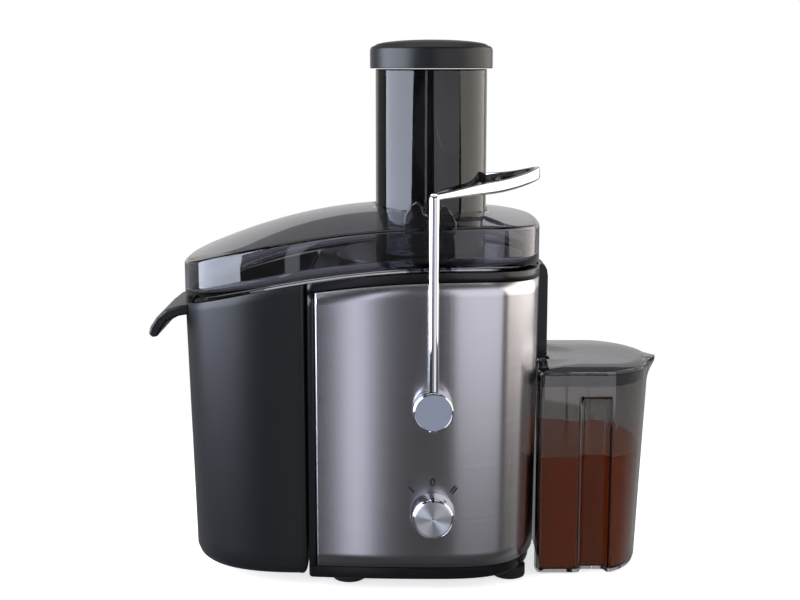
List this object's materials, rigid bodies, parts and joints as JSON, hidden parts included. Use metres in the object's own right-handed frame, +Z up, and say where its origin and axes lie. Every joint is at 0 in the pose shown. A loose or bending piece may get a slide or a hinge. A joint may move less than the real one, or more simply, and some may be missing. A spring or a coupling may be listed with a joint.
{
  "type": "centrifugal juicer",
  "caption": "Upright juicer with a wide round feed chute, clear cover, swinging locking arm, pulp container on the left and lidded juice jug on the right.",
  "frame": {"origin": "on the table, under the middle of the whole footprint", "axes": "+Z up, +X from the pulp container towards the juice jug, -Y towards the front with the speed knob; the motor axis is at x = 0.0175"},
  "size_m": [0.377, 0.214, 0.3886],
  "materials": {
    "black_abs": "injection-moulded black ABS, satin gloss",
    "textured_pp": "fine spark-textured black polypropylene",
    "smoked_plastic": "clear smoked SAN, polished",
    "stainless": "stainless steel sheet, brushed lengthwise",
    "chrome": "bright chrome plate",
    "aluminium": "spun aluminium",
    "rubber": "soft black rubber",
    "laminations": "stacked silicon steel laminations",
    "copper": "enamelled copper wire",
    "zinc_steel": "zinc-plated steel",
    "carbon": "pressed carbon graphite",
    "nylon": "glass-filled nylon"
  },
  "bodies": {
    "base": {"housing": "black_abs", "steel_panel_front": "stainless", "steel_panel_rear": "stainless", "base_cover": "black_abs", "cord_inlet": "rubber", "motor_deck": "black_abs", "shaft_seal": "rubber", "stator_core": "laminations", "field_coil_left": "copper", "field_coil_right": "copper", "upper_motor_bracket": "zinc_steel", "lower_motor_bracket": "zinc_steel", "upper_bearing": "zinc_steel", "lower_bearing": "zinc_steel", "brush_holder_left": "black_abs", "brush_holder_right": "black_abs", "carbon_brush_left": "carbon", "carbon_brush_right": "carbon", "juice_collector": "black_abs", "pivot_base_front": "chrome", "pivot_base_rear": "chrome", "rotary_switch": "black_abs", "interlock_switch": "black_abs", "foot_front_left": "rubber", "foot_front_right": "rubber", "foot_rear_left": "rubber", "foot_rear_right": "rubber", "base_screw_1": "zinc_steel", "motor_mount_1": "rubber", "base_screw_2": "zinc_steel", "motor_mount_2": "rubber", "base_screw_3": "zinc_steel", "motor_mount_3": "rubber", "base_screw_4": "zinc_steel", "motor_mount_4": "rubber"},
    "rotor": {"motor_shaft": "zinc_steel", "armature_core": "laminations", "commutator": "copper", "cooling_fan": "black_abs", "drive_coupling": "nylon", "strainer_basket": "stainless", "grater_disc": "stainless"},
    "cover": {"cover": "smoked_plastic", "feed_chute": "smoked_plastic"},
    "pusher": {"pusher_body": "black_abs", "pusher_cap": "textured_pp"},
    "pulp_bin": {"pulp_container": "textured_pp"},
    "jug": {"jug": "smoked_plastic"},
    "jug_lid": {"jug_lid": "smoked_plastic"},
    "arm": {"arm_handle": "chrome", "arm_rod_front": "chrome", "arm_rod_rear": "chrome", "pivot_hub_front": "aluminium", "pivot_hub_rear": "aluminium", "pivot_pin_front": "zinc_steel", "pivot_pin_rear": "zinc_steel"},
    "knob": {"speed_knob": "chrome", "knob_face": "aluminium", "switch_shaft": "zinc_steel"},
    "plunger": {"interlock_plunger": "zinc_steel"}
  },
  "joints": [
    {"name": "arm_swing", "type": "hinge", "parent": "base", "child": "arm", "pos_m": [0.0175, 0, 0.1344], "axis": [0, 1, 0], "range_deg": [0, 45]},
    {"name": "cover_lift", "type": "slide", "parent": "base", "child": "cover", "axis": [0, 0, 1], "range_m": [0, 0.018]},
    {"name": "bin_slide", "type": "slide", "parent": "base", "child": "pulp_bin", "axis": [-1, 0, 0], "range_m": [0, 0.07]},
    {"name": "plunger_push", "type": "slide", "parent": "base", "child": "plunger", "axis": [1, 0, 0], "range_m": [0, 0.0015]},
    {"name": "pusher_lift", "type": "slide", "parent": "cover", "child": "pusher", "axis": [0, 0, 1], "range_m": [0, 0.15]},
    {"name": "basket_spin", "type": "hinge", "parent": "base", "child": "rotor", "pos_m": [0.0175, 0, 0.1], "axis": [0, 0, 1], "continuous": true},
    {"name": "dial_turn", "type": "hinge", "parent": "base", "child": "knob", "pos_m": [0.0175, -0.093, 0.0578], "axis": [0, -1, 0], "range_deg": [-40, 40]},
    {"name": "jug_slide", "type": "slide", "parent": "base", "child": "jug", "axis": [1, 0, 0], "range_m": [0, 0.11]},
    {"name": "jug_lid_lift", "type": "slide", "parent": "jug", "child": "jug_lid", "axis": [0, 0, 1], "range_m": [0, 0.02]}
  ],
  "couplings": [
    {"joint": "cover_lift", "follows": "arm_swing", "m_per_rad": 0.022918},
    {"joint": "bin_slide", "follows": "arm_swing", "m_per_rad": 0.089125},
    {"joint": "plunger_push", "follows": "arm_swing", "m_per_rad": 0.001897}
  ]
}
